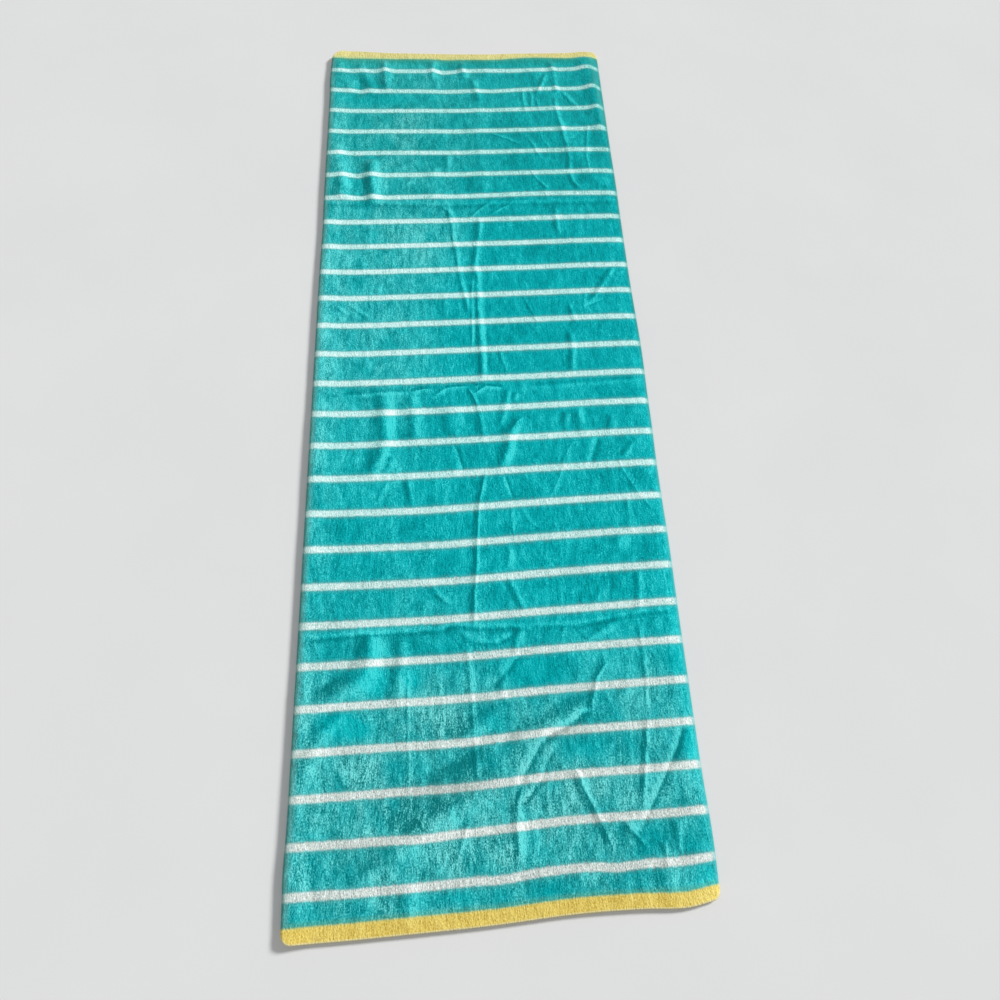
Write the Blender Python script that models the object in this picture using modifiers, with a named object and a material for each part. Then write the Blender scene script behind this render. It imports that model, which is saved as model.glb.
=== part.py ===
"""Velour beach towel, folded once lengthwise and laid flat.

One cloth, hems included. It is modelled as its flat pattern, a sheet that is
folded over its long middle line: the lower panel lies on the ground, the cloth
turns round a soft roll along the left side, and the upper panel lies over the
lower one with the creases it was stored with. Solidify gives the sheet the
thickness of the terry.

Metres, +Z up. +Y runs along the towel, +X across it from the fold to the two
free edges, Z = 0 is the ground.
"""

import math

import bmesh
import bpy

# ---------------------------------------------------------------- sizes
LENGTH = 1.766          # hem to hem along the long edges
PANEL = 0.6015          # width as folded
CLOTH = 0.0035          # one layer of terry with its pile
ROLL_HEIGHT = 0.0114    # over the soft roll at the fold
PANEL_MID = 0.0070      # middle of the upper layer, where it lies smooth
SKEW = math.radians(1.4)      # the weft runs a little off square
UNDER_INSET = 0.003     # lower panel set back under the upper one
EDGE_DROP = 0.0013      # upper layer sinks this far along its free edges
EDGE_REACH = 0.022
ROLL_REACH = 0.050      # how far the roll lifts the upper panel
BOX_SHIFT_Y = 0.00018   # centres the outline's box on the origin

HALF_W = PANEL / 2
HALF_L = LENGTH / 2
ROLL_R = (ROLL_HEIGHT - CLOTH) / 2          # radius of the sheet's middle
ROLL_X = -HALF_W + CLOTH / 2 + ROLL_R       # axis of the roll
FLAT_TOP = HALF_W - ROLL_X                  # upper panel, free edge to roll
FLAT_ROLL = math.pi * ROLL_R
FLAT_UNDER = FLAT_TOP - UNDER_INSET
FLAT_WIDTH = FLAT_TOP + FLAT_ROLL + FLAT_UNDER

# Rounded corners in plan: reach across and reach along.
#            side   end    across  along
CORNERS = (("fold", "far", 0.028, 0.026),
           ("free", "far", 0.022, 0.024),
           ("fold", "near", 0.017, 0.020),
           ("free", "near", 0.020, 0.014))

# Drawn-in corner: the hem is pulled along the towel by the tight free edge.
#               x       y       across  along  pull
DRAWN_IN = (("free_near", HALF_W, -HALF_L, 0.045, 0.110, 0.0095),
            ("free_far", HALF_W, HALF_L, 0.040, 0.060, -0.0040))

# Folds of the upper panel as soft ridges (+) and troughs (-), millimetres.
#   name                 x0    y0    x1    y1   half  height
FOLDS = (
    ("quarter_crease",  -290,  424,  290,  430,  34,  3.4),
    ("half_crease",     -290,  -24,  290,  -10,  20, -1.0),
    ("half_shoulder",   -270,   22,  270,   34,  30,  1.2),
    ("three_quarter",   -290, -472,  290, -453,  26,  2.4),
    ("long_crease_far",   18,  500,    2,   40,  18,  2.0),
    ("long_crease_mid",    0,   30,  -22, -300,  16,  1.6),
    ("long_crease_near", -22, -300,  -30, -480,  16,  1.6),
    ("left_wave_a",     -276,  560, -262,  440,  20,  3.6),
    ("left_wave_b",     -232,  545, -236,  455,  16, -1.2),
    ("left_wave_c",     -200,  560, -206,  440,  22,  3.2),
    ("head_wave_a",     -180,  883, -186,  770,  20,  2.4),
    ("head_wave_b",      -80,  883,  -88,  790,  20,  2.0),
    ("head_wave_c",       90,  883,   96,  780,  22,  2.2),
    ("head_wave_d",      262,  883,  258,  790,  22,  3.0),
    ("right_diagonal",   141,  810,  206,  635,  24,  2.4),
    ("flute_left_a",    -169,  -46, -163, -150,  18,  2.6),
    ("flute_left_b",    -118,  -50, -118, -150,  16,  2.2),
    ("flute_mid",         62,  -50,   46, -150,  20,  2.6),
    ("flute_right",      150, -190,  130, -250,  22,  2.2),
    ("near_left_flute", -205, -500, -250, -640,  24,  3.2),
    ("near_mid_flute",    55, -395,   60, -440,  20,  2.2),
    ("long_diagonal",    140, -575,   24, -715,  22,  4.4),
    ("short_diagonal",   178, -520,  150, -600,  20,  2.8),
    ("right_flute",      248, -450,  240, -570,  22,  2.8),
    ("chevron_left",     118, -700,  150, -790,  20,  3.0),
    ("chevron_right",    250, -680,  205, -780,  20,  3.4),
    ("edge_flute",       286, -630,  270, -700,  18,  3.0),
    ("near_flute_a",      30, -760,   34, -840,  20,  2.8),
    ("near_flute_b",     -96, -730, -118, -800,  24,  2.4),
    ("near_flute_c",    -258, -600, -285, -690,  20,  2.6),
)


def smooth(x):
    """0 to 1 with level ends."""
    x = min(1.0, max(0.0, x))
    return x * x * (3 - 2 * x)


def ridge(x, y, x0, y0, x1, y1, half, height):
    """A soft ridge along a line, faded over its last third at each end."""
    dx, dy = x1 - x0, y1 - y0
    run = math.hypot(dx, dy)
    along = ((x - x0) * dx + (y - y0) * dy) / run
    away = ((x - x0) * dy - (y - y0) * dx) / run
    fade = max(half, run / 3)
    ends = smooth((along + half) / fade) * smooth((run + half - along) / fade)
    return height * math.exp(-(away / half) ** 2) * ends


def corner_cut(side, end, d):
    """How far the end steps back at a distance d from a long side."""
    for s, e, across, along in CORNERS:
        if (s, e) == (side, end) and d < across:
            k = (across - d) / across
            return along * (1 - math.sqrt(max(0.0, 1 - k * k)))
    return 0.0


def end_line(x, end):
    """Y of the hem's edge at x."""
    sign = 1 if end == "far" else -1
    back = corner_cut("fold", end, x + HALF_W) + corner_cut("free", end, HALF_W - x)
    return sign * (HALF_L - back) + math.tan(SKEW) * x


def panel_height(x, y):
    """Middle of the upper layer above the ground."""
    mm_x, mm_y = x * 1000, y * 1000
    z = sum(ridge(mm_x, mm_y, *row[1:]) for row in FOLDS) / 1000
    from_edge = min(HALF_W - x, end_line(x, "far") - y, y - end_line(x, "near"))
    quiet = smooth((from_edge + 0.004) / EDGE_REACH)
    z = z * quiet - EDGE_DROP * (1 - quiet)
    near_roll = 1 - smooth((x - ROLL_X) / ROLL_REACH)
    top_of_roll = ROLL_HEIGHT - CLOTH / 2
    return (PANEL_MID + z) * (1 - near_roll) + top_of_roll * near_roll


def stations(anchors, step):
    """Positions through the anchors, no gap wider than the step."""
    out = [anchors[0]]
    for a, b in zip(anchors, anchors[1:]):
        n = max(1, math.ceil(abs(b - a) / step - 1e-6))
        out += [a + (b - a) * k / n for k in range(1, n + 1)]
    return out


def across_stations():
    """Distances over the flat pattern, from the upper free edge to the lower."""
    upper = stations([0, 0.003, 0.009, 0.020, 0.034,
                      HALF_W - 0.018, HALF_W + 0.002, HALF_W + 0.022,
                      FLAT_TOP - 0.032, FLAT_TOP - 0.012, FLAT_TOP], 0.030)
    roll = [FLAT_TOP + FLAT_ROLL * k / 8 for k in range(1, 9)]
    start = FLAT_TOP + FLAT_ROLL
    under = stations([start + 0.012, start + 0.032,
                      FLAT_WIDTH - 0.030, FLAT_WIDTH - 0.014,
                      FLAT_WIDTH - 0.005, FLAT_WIDTH], 0.190)
    return upper + roll + under


def along_stations():
    """Shares of the length, 0 at the near hem and 1 at the far hem."""
    marks = [-HALF_L, -HALF_L + 0.007, -HALF_L + 0.024,
             -0.500, -0.465, -0.430, -0.052, -0.018, 0.030,
             0.390, 0.427, 0.464, HALF_L - 0.024, HALF_L - 0.007, HALF_L]
    return [(y + HALF_L) / LENGTH for y in stations(marks, 0.0385)]


def fold(a, b):
    """A point of the flat pattern, carried to where it lies when folded."""
    if a <= FLAT_TOP:                       # upper panel
        x, turn, layer = HALF_W - a, 0.0, "upper"
    elif a <= FLAT_TOP + FLAT_ROLL:         # round the roll
        turn = (a - FLAT_TOP) / ROLL_R
        x, layer = ROLL_X - ROLL_R * math.sin(turn), "roll"
    else:                                   # lower panel, on the ground
        x, turn, layer = ROLL_X + (a - FLAT_TOP - FLAT_ROLL), math.pi, "under"
    near, far = end_line(x, "near"), end_line(x, "far")
    if layer == "under":
        back = UNDER_INSET * smooth((x - ROLL_X) / 0.060)
        near, far = near + back, far - back
    y = near + (far - near) * b
    if layer == "upper":
        z = panel_height(x, y)
        for _, cx, cy, reach_x, reach_y, pull in DRAWN_IN:
            y += pull * smooth(1 - abs(x - cx) / reach_x) * smooth(1 - abs(y - cy) / reach_y)
    else:
        z = CLOTH / 2 + ROLL_R * (1 + math.cos(turn))
    return x, y + BOX_SHIFT_Y, z


def clear_scene():
    for obj in list(bpy.data.objects):
        bpy.data.objects.remove(obj, do_unlink=True)


def velour():
    mat = bpy.data.materials.new("velour_terry")
    mat.use_nodes = True
    bsdf = mat.node_tree.nodes["Principled BSDF"]
    bsdf.inputs["Base Color"].default_value = (0.0, 0.40, 0.42, 1.0)
    bsdf.inputs["Roughness"].default_value = 0.9
    bsdf.inputs["Metallic"].default_value = 0.0
    mat.diffuse_color = (0.0, 0.40, 0.42, 1.0)
    return mat


def towel():
    across, along = across_stations(), along_stations()
    nx, ny = len(across) - 1, len(along) - 1
    bm = bmesh.new()
    bmesh.ops.create_grid(bm, x_segments=nx, y_segments=ny, size=1.0)
    for v in bm.verts:
        i = round((v.co.x + 1) / 2 * nx)
        j = round((v.co.y + 1) / 2 * ny)
        v.co = fold(across[i], along[j])
    bmesh.ops.recalc_face_normals(bm, faces=bm.faces[:])
    mesh = bpy.data.meshes.new("towel")
    bm.to_mesh(mesh)
    bm.free()
    mesh.shade_smooth()
    obj = bpy.data.objects.new("towel", mesh)
    obj.data.materials.append(velour())
    skin = obj.modifiers.new("terry", "SOLIDIFY")
    skin.thickness = CLOTH
    skin.offset = 0.0
    skin.use_even_offset = False
    return obj


def main():
    clear_scene()
    home = bpy.data.collections.new("beach_towel")
    bpy.context.scene.collection.children.link(home)
    home.objects.link(towel())


main()
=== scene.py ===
"""Velour beach towel, folded once lengthwise and laid flat: its looks.

The cloth is one closed sheet laid over its flat pattern. The upper panel holds
the storage creases and flutes, the long edge at -X is a soft roll, and the free
edge at +X sinks over the lower panel. Plan sizes in the tables are millimetres,
x across the towel and y along it, as the folded towel lies.
"""

import math

import bmesh
import bpy
import numpy as np
from mathutils import Matrix, Vector


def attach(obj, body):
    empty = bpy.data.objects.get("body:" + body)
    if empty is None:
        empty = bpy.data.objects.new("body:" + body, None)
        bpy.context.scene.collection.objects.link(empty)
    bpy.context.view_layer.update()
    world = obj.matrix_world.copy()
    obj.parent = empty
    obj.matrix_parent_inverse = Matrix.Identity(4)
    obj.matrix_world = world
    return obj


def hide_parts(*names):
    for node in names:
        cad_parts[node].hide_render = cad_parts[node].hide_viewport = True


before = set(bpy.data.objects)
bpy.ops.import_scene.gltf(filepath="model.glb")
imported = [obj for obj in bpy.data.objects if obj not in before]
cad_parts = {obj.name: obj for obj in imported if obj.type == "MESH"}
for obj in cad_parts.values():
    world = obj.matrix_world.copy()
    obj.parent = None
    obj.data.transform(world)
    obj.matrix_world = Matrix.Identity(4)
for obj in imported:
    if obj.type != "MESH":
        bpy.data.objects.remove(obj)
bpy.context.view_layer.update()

# ------------------------------------------------------------------ sizes, mm
LENGTH = 1766.0
PANEL = 601.5
TERRY = 3.3             # one layer with its pile
ROLL_HEIGHT = 11.2
PANEL_MID = 6.5         # middle of the upper layer where it lies smooth
SKEW = math.tan(math.radians(1.4))
UNDER_BACK = 7.0        # lower panel set back under the free edge
HEM_BACK = 2.5          # and under the hems
FREE_LOW = 2.5          # middle of the upper layer at its free edge
FREE_REACH = 26.0
ROLL_REACH = 44.0
HEM_DROP = 0.9
PITCH = 63.5            # stripe to stripe
STRIPE = 11.3
BAND_FROM = 13.57 * PITCH
PALE_EDGE = 2.4         # turned edge of the hem, without pile

HALF_T = TERRY / 2
HALF_W = PANEL / 2
HALF_L = LENGTH / 2
MID_W = HALF_W - HALF_T * 0.9     # the sheet's middle stops short of its outline
MID_L = HALF_L - HALF_T * 0.9
ROLL_R = (ROLL_HEIGHT - TERRY) / 2
ROLL_X = -HALF_W + HALF_T + ROLL_R
FLAT_TOP = MID_W - ROLL_X
FLAT_ROLL = math.pi * ROLL_R
FLAT_UNDER = FLAT_TOP - UNDER_BACK
TOWARDS_LIGHT = (0.87, 0.50)
LAYERS = 6              # of sharp creases that may cross each other
FLANK = {"soft": 0.62, "fold": 0.42, "step": 0.50}   # crest to strongest shade
SHARP_TO = 6.5          # narrower flanks have their painted shade drawn in the material
RISE = 0.65             # share of a crease's height in the outer face
CREASE_SHADE_STRENGTH = 0.85            # how strongly the painted crease shade shows in the pile's colour

# Rounded corners: reach across and along.
#            side   end    across along
CORNERS = (("fold", "far", 24, 24), ("free", "far", 9, 18),
           ("fold", "near", 14, 15), ("free", "near", 9, 9))

# How the long sides bow out: place along, reach, push.
#         side     y   reach  push
BOWS = (("free",  -40,  900,  0.7),
        ("free",   50,  110,  3.2),
        ("free", -110,   60,  1.2),
        ("free", -350,   80,  1.2),
        ("free", -800,   65,  2.6),
        ("free",  480,   70,  0.8),
        ("fold", -795,   40,  1.7),
        ("fold",  800,   36,  1.6),
        ("fold",  360,   60, -1.2))

# Where the cloth is drawn along its plane: centre, reach, pull towards +y.
#    name              x     y    reach_x reach_y  pull
PULLS = (
    ("corner_near",   301, -883,   30,   60,   3.5),
    ("dip_near",      250, -883,   40,   60,  -3.6),
    ("rise_near",     100, -860,   90,  110,   3.6),
    ("band_near",    -170, -862,  130,   24,   2.2),
    ("fold_near",    -300, -830,   70,  120,   3.4),
    ("last_middle",     0, -825,   26,   24,  -2.4),
    ("last_right",    160, -825,   26,   24,  -3.4),
    ("last_left",    -112, -762,   38,   24,  -2.2),
    ("belly_low",     -60, -650,   90,   90,  -3.2),
    ("diag_right",    100, -700,   80,  120,   1.8),
    ("belly_near",    -70, -390,  130,  150,  -4.2),
    ("three_right",   120, -444,  120,   40,  -1.4),
    ("middle_left",  -120, -260,  120,   60,  -1.8),
    ("half_middle",   -60,  -60,  140,   50,  -1.2),
    ("fold_side",    -290,   60,   60,  420,   2.6),
    ("free_side",     230,  120,   90,  420,   1.2),
    ("quarter_right", 130,  446,  105,   24,   3.2),
    ("quarter_left", -110,  446,   70,   24,   1.6),
    ("belly_far",     -10,  700,  130,  260,  -3.6),
    ("sag_far",      -110,  768,  180,   72,  -3.4),
    ("sag_head",      -50,  825,   24,   26,  -3.4),
    ("sag_right",      58,  768,   44,   36,  -3.2),
    ("sag_end",       125,  812,   50,   34,  -2.4),
    ("band_dip",       50,  866,   45,   22,  -3.0),
    ("band_rise",     146,  866,   45,   22,   3.6),
    ("corner_far",   -262,  884,   60,   20,   7.5),
    ("hem_far",      -190,  884,  110,   24,   3.0),
    ("hem_dip",       152,  890,   50,   14,  -4.0),
    ("hem_end",       268,  884,   22,   16,   4.0),
)

# Creases and flutes of the upper panel, a row for each. form is soft, fold (a
# sharp crest) or step. height is up, lean paints light on the flank towards the
# light and shade on the other flank, and line paints a highlight on the crest
# where it is positive and shade where it is negative.
#    name          form   half height lean  line   path
CREASES = (
    # pressed across by storage
    ("quarter",    "soft", 34, 1.1, 0.00, 0.0, ((-300, 424), (300, 430))),
    ("quarter_a",  "fold", 12, 0.7, 0.20, 0.0, ((-300, 424), (-60, 420), (150, 424), (300, 430))),
    ("half",       "soft", 22, -0.8, 0.00, 0.0, ((-300, -24), (300, -8))),
    ("half_a",     "step", 7, -0.5, -0.30, 0.0, ((-250, -30), (-164, -25), (-126, -26))),
    ("half_b",     "fold", 8, 0.6, -0.35, 0.6, ((-124, -27), (-106, -22), (-92, -21))),
    ("half_e",     "fold", 8, 0.7, -0.35, 0.6, ((-84, -37), (-72, -26), (-60, -20), (-42, -19), (-24, -17))),
    ("half_c",     "fold", 8, 0.7, -0.40, 0.6, ((-12, -34), (-2, -26), (8, -18), (24, -20), (42, -22))),
    ("half_f",     "fold", 9, -0.6, 0.10, -0.6, ((-20, -6), (-10, -14), (0, -10))),
    ("half_d",     "step", 8, -0.5, -0.20, 0.0, ((80, -20), (180, -14), (292, -8))),
    ("threeq",     "soft", 28, 1.1, 0.00, 0.0, ((-300, -472), (-60, -462), (300, -453))),
    ("threeq_a",   "fold", 8, 0.6, 0.35, 0.1, ((-289, -472), (-206, -468), (-75, -467))),
    ("threeq_b",   "fold", 9, 0.7, 0.35, 0.0, ((-85, -468), (-59, -460), (-20, -467), (60, -470))),
    ("threeq_c",   "fold", 8, 0.5, 0.25, 0.0, ((60, -468), (139, -470), (237, -455), (292, -453))),
    # pressed along by storage, a bundle of strands in the far half
    ("long_far",   "soft", 18, 1.4, 0.10, 0.0, ((20, 800), (18, 560), (14, 440))),
    ("strand_a",   "fold", 9, 1.1, 0.50, 0.25, ((-50, 412), (-46, 372), (-42, 330), (-36, 290), (-34, 250), (-27, 205), (-20, 172), (-17, 140))),
    ("strand_b",   "fold", 11, 1.2, 0.55, -0.2, ((11, 385), (7, 345), (3, 315), (1, 290), (-3, 262), (-6, 235))),
    ("strand_c",   "fold", 7, 0.8, 0.45, 0.5, ((-5, 245), (-9, 205), (-10, 170), (-11, 140), (-12, 100), (-14, 60))),
    ("strand_d",   "fold", 11, 1.7, 0.60, 0.1, ((2, 255), (1, 200), (1, 150), (2, 110), (3, 60), (3, 20), (3, -8))),
    ("strand_e",   "fold", 7, 0.3, -0.35, 0.0, ((14, 120), (13, 60), (12, 10))),
    ("long_half",  "fold", 8, 0.8, 0.40, -1.0, ((-26, -22), (-18, -38), (-11, -56), (-8, -72))),
    ("long_dark",  "fold", 13, 1.0, 0.40, -0.5, ((-8, -72), (-6, -95), (-2, -124))),
    ("long_mid",   "fold", 8, 1.4, 0.55, -1.1, ((-1, -190), (-4, -205), (-10, -230), (-14, -250), (-17, -275), (-20, -310), (-22, -350), (-25, -390), (-28, -420), (-31, -466))),
    ("long_near",  "fold", 8, 0.8, 0.35, 0.3, ((-41, -490), (-37, -530), (-35, -580), (-33, -640), (-30, -700))),
    # far hem
    ("head_a",     "soft", 13, 3.0, 0.20, 0.0, ((-284, 850), (-282, 822), (-262, 770), (-258, 740))),
    ("head_b",     "soft", 12, 2.8, 0.20, 0.0, ((-240, 850), (-236, 826), (-216, 780), (-210, 740))),
    ("head_notch", "fold", 12, -3.6, 0.00, -0.4, ((-236, 790), (-234, 735))),
    ("head_c",     "fold", 17, 9.8, 0.25, 0.2, ((-183, 850), (-183, 830), (-180, 800), (-176, 760))),
    ("head_d",     "fold", 15, 6.6, 0.25, 0.2, ((-74, 850), (-76, 830), (-78, 795))),
    ("head_e",     "fold", 13, 4.8, 0.25, 0.1, ((-10, 848), (-10, 830), (-8, 795))),
    ("head_dip",   "soft", 22, -1.6, 0.00, 0.0, ((-48, 880), (-44, 730))),
    ("head_f",     "soft", 30, 1.2, 0.10, 0.0, ((38, 890), (40, 800))),
    ("head_g",     "fold", 13, 1.8, 0.40, 0.0, ((8, 800), (18, 757), (24, 720))),
    ("head_h",     "fold", 12, 5.6, 0.30, 0.1, ((192, 856), (193, 838), (195, 790), (196, 745))),
    ("head_i",     "soft", 20, 10.6, -0.15, 0.0, ((268, 870), (271, 838), (280, 770), (288, 700), (290, 640))),
    ("head_j",     "fold", 9, 1.4, 0.55, 0.3, ((180, 820), (172, 800), (164, 778), (155, 756), (150, 742))),
    # fan of fine creases, far right
    ("fan_a",      "fold", 8, 0.6, 0.35, 0.5, ((122, 765), (122, 730), (126, 688))),
    ("fan_b",      "fold", 8, 0.6, 0.35, 0.5, ((137, 765), (141, 735), (136, 700))),
    ("fan_m",      "fold", 8, 0.6, 0.30, 0.4, ((150, 740), (155, 704), (161, 680))),
    ("fan_c",      "fold", 9, 0.9, 0.50, 0.2, ((190, 742), (192, 700), (198, 655), (205, 600), (209, 556), (206, 510))),
    ("fan_e",      "fold", 9, 1.0, 0.55, -0.2, ((205, 508), (211, 482), (225, 461))),
    ("fan_f",      "fold", 8, 0.7, 0.30, 0.5, ((259, 652), (252, 600), (248, 556), (250, 500))),
    ("fan_g",      "fold", 9, 1.4, 0.40, 0.3, ((210, 757), (226, 728), (242, 706))),
    ("fan_h",      "fold", 7, 0.6, 0.25, 0.5, ((46, 626), (76, 612), (110, 592))),
    ("fan_i",      "fold", 8, 0.6, 0.30, 0.5, ((125, 616), (136, 590), (143, 568), (152, 545))),
    ("fan_j",      "fold", 7, 0.5, 0.25, 0.5, ((156, 609), (170, 580))),
    ("fan_k",      "fold", 7, 0.7, 0.30, 0.4, ((124, 520), (136, 492), (162, 458))),
    ("fan_l",      "soft", 22, 1.6, 0.15, 0.0, ((150, 830), (178, 720), (212, 600), (262, 470))),
    ("far_dark",   "step", 10, 0.6, 0.40, 0.0, ((-50, 565), (-53, 508))),
    # waves on the left beside the far quarter crease
    ("left_a",     "soft", 18, 9.6, 0.35, 0.0, ((-266, 430), (-270, 500), (-281, 550), (-284, 592))),
    ("left_b",     "fold", 22, 9.6, 0.50, 0.0, ((-202, 425), (-206, 505), (-209, 540))),
    ("left_gap",   "soft", 11, -2.6, 0.00, -0.4, ((-236, 562), (-236, 505), (-222, 436))),
    ("left_c",     "soft", 20, 1.4, 0.15, 0.0, ((-80, 520), (-82, 430))),
    ("star_a",     "fold", 8, 0.7, 0.35, 0.2, ((-60, 412), (-46, 398), (-38, 380))),
    ("star_b",     "fold", 7, 0.6, 0.35, 0.5, ((-8, 384), (4, 398), (18, 412), (34, 424))),
    ("star_c",     "fold", 7, 0.6, 0.20, 0.5, ((32, 392), (50, 404), (70, 416), (84, 430))),
    # left, far of the half crease
    ("ll_a",       "fold", 8, 0.7, 0.30, 0.2, ((-242, 172), (-222, 155), (-198, 132))),
    ("ll_b",       "fold", 7, 0.5, 0.25, 0.2, ((-263, 166), (-244, 146))),
    ("ll_c",       "step", 9, 0.5, 0.35, 0.0, ((-222, 285), (-219, 252))),
    ("ll_d",       "step", 9, 0.5, 0.35, 0.0, ((-161, 285), (-160, 252))),
    ("ll_e",       "step", 9, 0.6, 0.35, 0.0, ((-64, 195), (-62, 140))),
    # right, far of the half crease
    ("rr_a",       "fold", 10, 1.1, 0.50, 0.0, ((168, 420), (167, 375), (169, 335))),
    ("rr_b",       "fold", 9, 0.8, 0.35, 0.1, ((176, 165), (186, 118))),
    ("rr_c",       "fold", 10, 1.0, 0.45, 0.0, ((172, 102), (173, 70), (166, 5))),
    ("rr_d",       "fold", 7, 0.5, 0.15, -0.6, ((84, 190), (94, 165), (104, 140), (111, 112))),
    ("rr_e",       "fold", 10, 1.0, 0.45, -0.2, ((272, 258), (238, 203), (214, 168))),
    ("rr_f",       "fold", 7, 0.6, 0.20, 0.3, ((203, 158), (222, 167), (243, 177))),
    ("rr_g",       "fold", 7, 0.6, 0.20, 0.3, ((211, 205), (204, 148))),
    ("rr_h",       "fold", 8, 0.7, 0.30, 0.1, ((34, 62), (45, 22), (50, 6))),
    # flutes just near of the half crease
    ("flute_a",    "fold", 24, 3.0, 0.55, 0.0, ((-176, -34), (-172, -80), (-170, -125), (-182, -165), (-196, -195))),
    ("flute_b",    "fold", 19, 2.4, 0.50, 0.0, ((-126, -36), (-122, -80), (-121, -125))),
    ("flute_c",    "soft", 18, 1.5, 0.30, 0.0, ((-56, -60), (-56, -118))),
    ("flute_d",    "fold", 11, 1.3, 0.50, -0.2, ((48, -20), (43, -45), (37, -72), (27, -104))),
    ("flute_e",    "fold", 9, 0.9, 0.45, 0.0, ((62, -34), (56, -48))),
    ("flute_f",    "fold", 17, 2.8, 0.60, 0.0, ((66, -90), (56, -103), (46, -121), (42, -145), (32, -172), (26, -188))),
    ("flute_u",    "fold", 7, 0.5, 0.20, 0.5, ((73, -85), (60, -96), (48, -114))),
    ("flute_g",    "fold", 17, 1.6, 0.40, 0.0, ((168, -70), (176, -118))),
    ("flute_h",    "step", 10, 0.7, 0.40, 0.0, ((150, -80), (142, -104))),
    ("flute_i",    "step", 10, 0.7, 0.40, 0.0, ((229, -85), (226, -112))),
    ("flute_j",    "step", 9, -0.6, -0.50, 0.0, ((202, -130), (192, -158), (182, -186))),
    ("flute_k",    "fold", 7, 0.6, 0.20, 0.35, ((158, -134), (141, -165), (132, -196), (120, -225), (107, -246))),
    ("flute_l",    "fold", 7, 0.7, 0.20, 0.35, ((233, -166), (240, -195), (250, -217), (263, -242), (284, -276))),
    ("flute_m",    "fold", 10, 0.9, 0.40, -0.1, ((262, -142), (244, -168))),
    ("flute_n",    "fold", 7, -0.5, -0.40, 0.4, ((-52, -138), (-46, -158), (-40, -180), (-38, -195))),
    ("flute_o",    "fold", 10, 0.8, 0.40, -0.3, ((-134, -198), (-131, -225), (-126, -254))),
    ("flute_p",    "fold", 11, 1.0, 0.40, 0.0, ((-158, -160), (-170, -186))),
    ("flute_q",    "fold", 8, 0.7, 0.25, 0.2, ((-164, -205), (-176, -225), (-184, -246))),
    ("flute_r",    "fold", 7, -0.7, -0.40, 0.4, ((32, -198), (38, -220), (45, -246))),
    ("flute_s",    "fold", 6, 0.5, 0.20, 0.3, ((42, -252), (41, -285), (44, -312))),
    ("flute_t",    "fold", 6, 0.5, 0.20, 0.25, ((60, -264), (69, -285), (88, -303))),
    # between the half crease and the near quarter
    ("mid_a",      "fold", 10, 1.0, 0.45, -0.3, ((28, -384), (38, -412), (52, -444))),
    ("mid_b",      "step", 8, 0.6, 0.35, 0.0, ((34, -335), (30, -372))),
    ("mid_c",      "step", 8, 0.5, 0.40, -0.1, ((239, -240), (238, -315))),
    ("mid_d",      "fold", 10, 1.0, 0.45, -0.2, ((243, -378), (241, -410), (236, -450))),
    ("mid_e",      "fold", 9, 1.0, -0.35, 0.2, ((191, -378), (194, -402), (187, -434))),
    ("mid_f",      "fold", 8, 0.7, 0.30, 0.0, ((180, -402), (168, -434))),
    ("mid_g",      "step", 7, 0.4, 0.35, -0.1, ((-98, -384), (-86, -410), (-66, -428))),
    ("mid_h",      "soft", 14, 1.2, 0.35, 0.0, ((224, -316), (212, -336))),
    # near of the three-quarter crease, left
    ("nl_a",       "fold", 26, 3.2, 0.50, 0.0, ((-190, -474), (-188, -512), (-204, -540), (-262, -572))),
    ("nl_b",       "soft", 12, -1.4, 0.00, -0.5, ((-210, -478), (-210, -508), (-232, -534), (-276, -560))),
    ("nl_c",       "fold", 16, 1.8, 0.40, -0.1, ((-142, -474), (-142, -505), (-148, -530), (-150, -590))),
    ("nl_d",       "fold", 18, 2.0, 0.35, 0.0, ((-222, -584), (-248, -604), (-266, -630), (-284, -680))),
    ("nl_e",       "step", 9, 0.6, 0.30, 0.0, ((-232, -664), (-222, -690))),
    ("nl_f",       "fold", 7, 0.5, 0.15, 0.55, ((-130, -520), (-131, -580), (-130, -640), (-129, -705))),
    # broad diagonals of the near left
    ("nd_a",       "soft", 26, -1.1, 0.15, -0.40, ((-4, -592), (-30, -608), (-60, -634))),
    ("nd_b",       "soft", 24, -1.0, 0.15, -0.40, ((-20, -650), (-60, -668), (-105, -692))),
    ("nd_c",       "soft", 44, -1.8, 0.30, -0.45, ((-24, -692), (-60, -712), (-98, -736), (-136, -760))),
    ("nd_d",       "soft", 26, -1.0, 0.15, -0.38, ((-150, -772), (-182, -797), (-218, -816))),
    # near right
    ("nr_a",       "soft", 28, -1.2, 0.00, -0.42, ((136, -584), (104, -596), (60, -616), (14, -640))),
    ("nr_b",       "fold", 11, 3.2, -0.60, 0.45, ((141, -601), (128, -608), (112, -620), (86, -631), (72, -639), (62, -648), (54, -660), (44, -675), (34, -690), (26, -706), (16, -732))),
    ("nr_u",       "fold", 8, 1.0, -0.40, 0.3, ((84, -652), (72, -672), (62, -696), (46, -716), (24, -738))),
    ("nr_c",       "fold", 8, 1.8, 0.55, -0.7, ((176, -526), (166, -540), (156, -555), (151, -572), (146, -588), (142, -602))),
    ("nr_d",       "fold", 11, 2.0, 0.50, -0.2, ((30, -700), (23, -730), (22, -765), (22, -812))),
    ("nr_f",       "fold", 8, 1.5, 0.50, -0.7, ((108, -682), (118, -702), (123, -720), (131, -738), (139, -755), (148, -780), (157, -803))),
    ("nr_g",       "fold", 9, 2.0, -0.60, 0.3, ((278, -636), (270, -660), (254, -686), (240, -710), (222, -738), (208, -760), (199, -778))),
    ("nr_v",       "soft", 24, -0.6, 0.00, -0.45, ((283, -640), (274, -664), (262, -684))),
    ("nr_h",       "fold", 8, 0.9, 0.45, -0.4, ((174, -761), (184, -774), (194, -786), (204, -800))),
    ("nr_i",       "fold", 7, 0.9, 0.10, 0.6, ((186, -764), (193, -772), (200, -778))),
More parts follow.
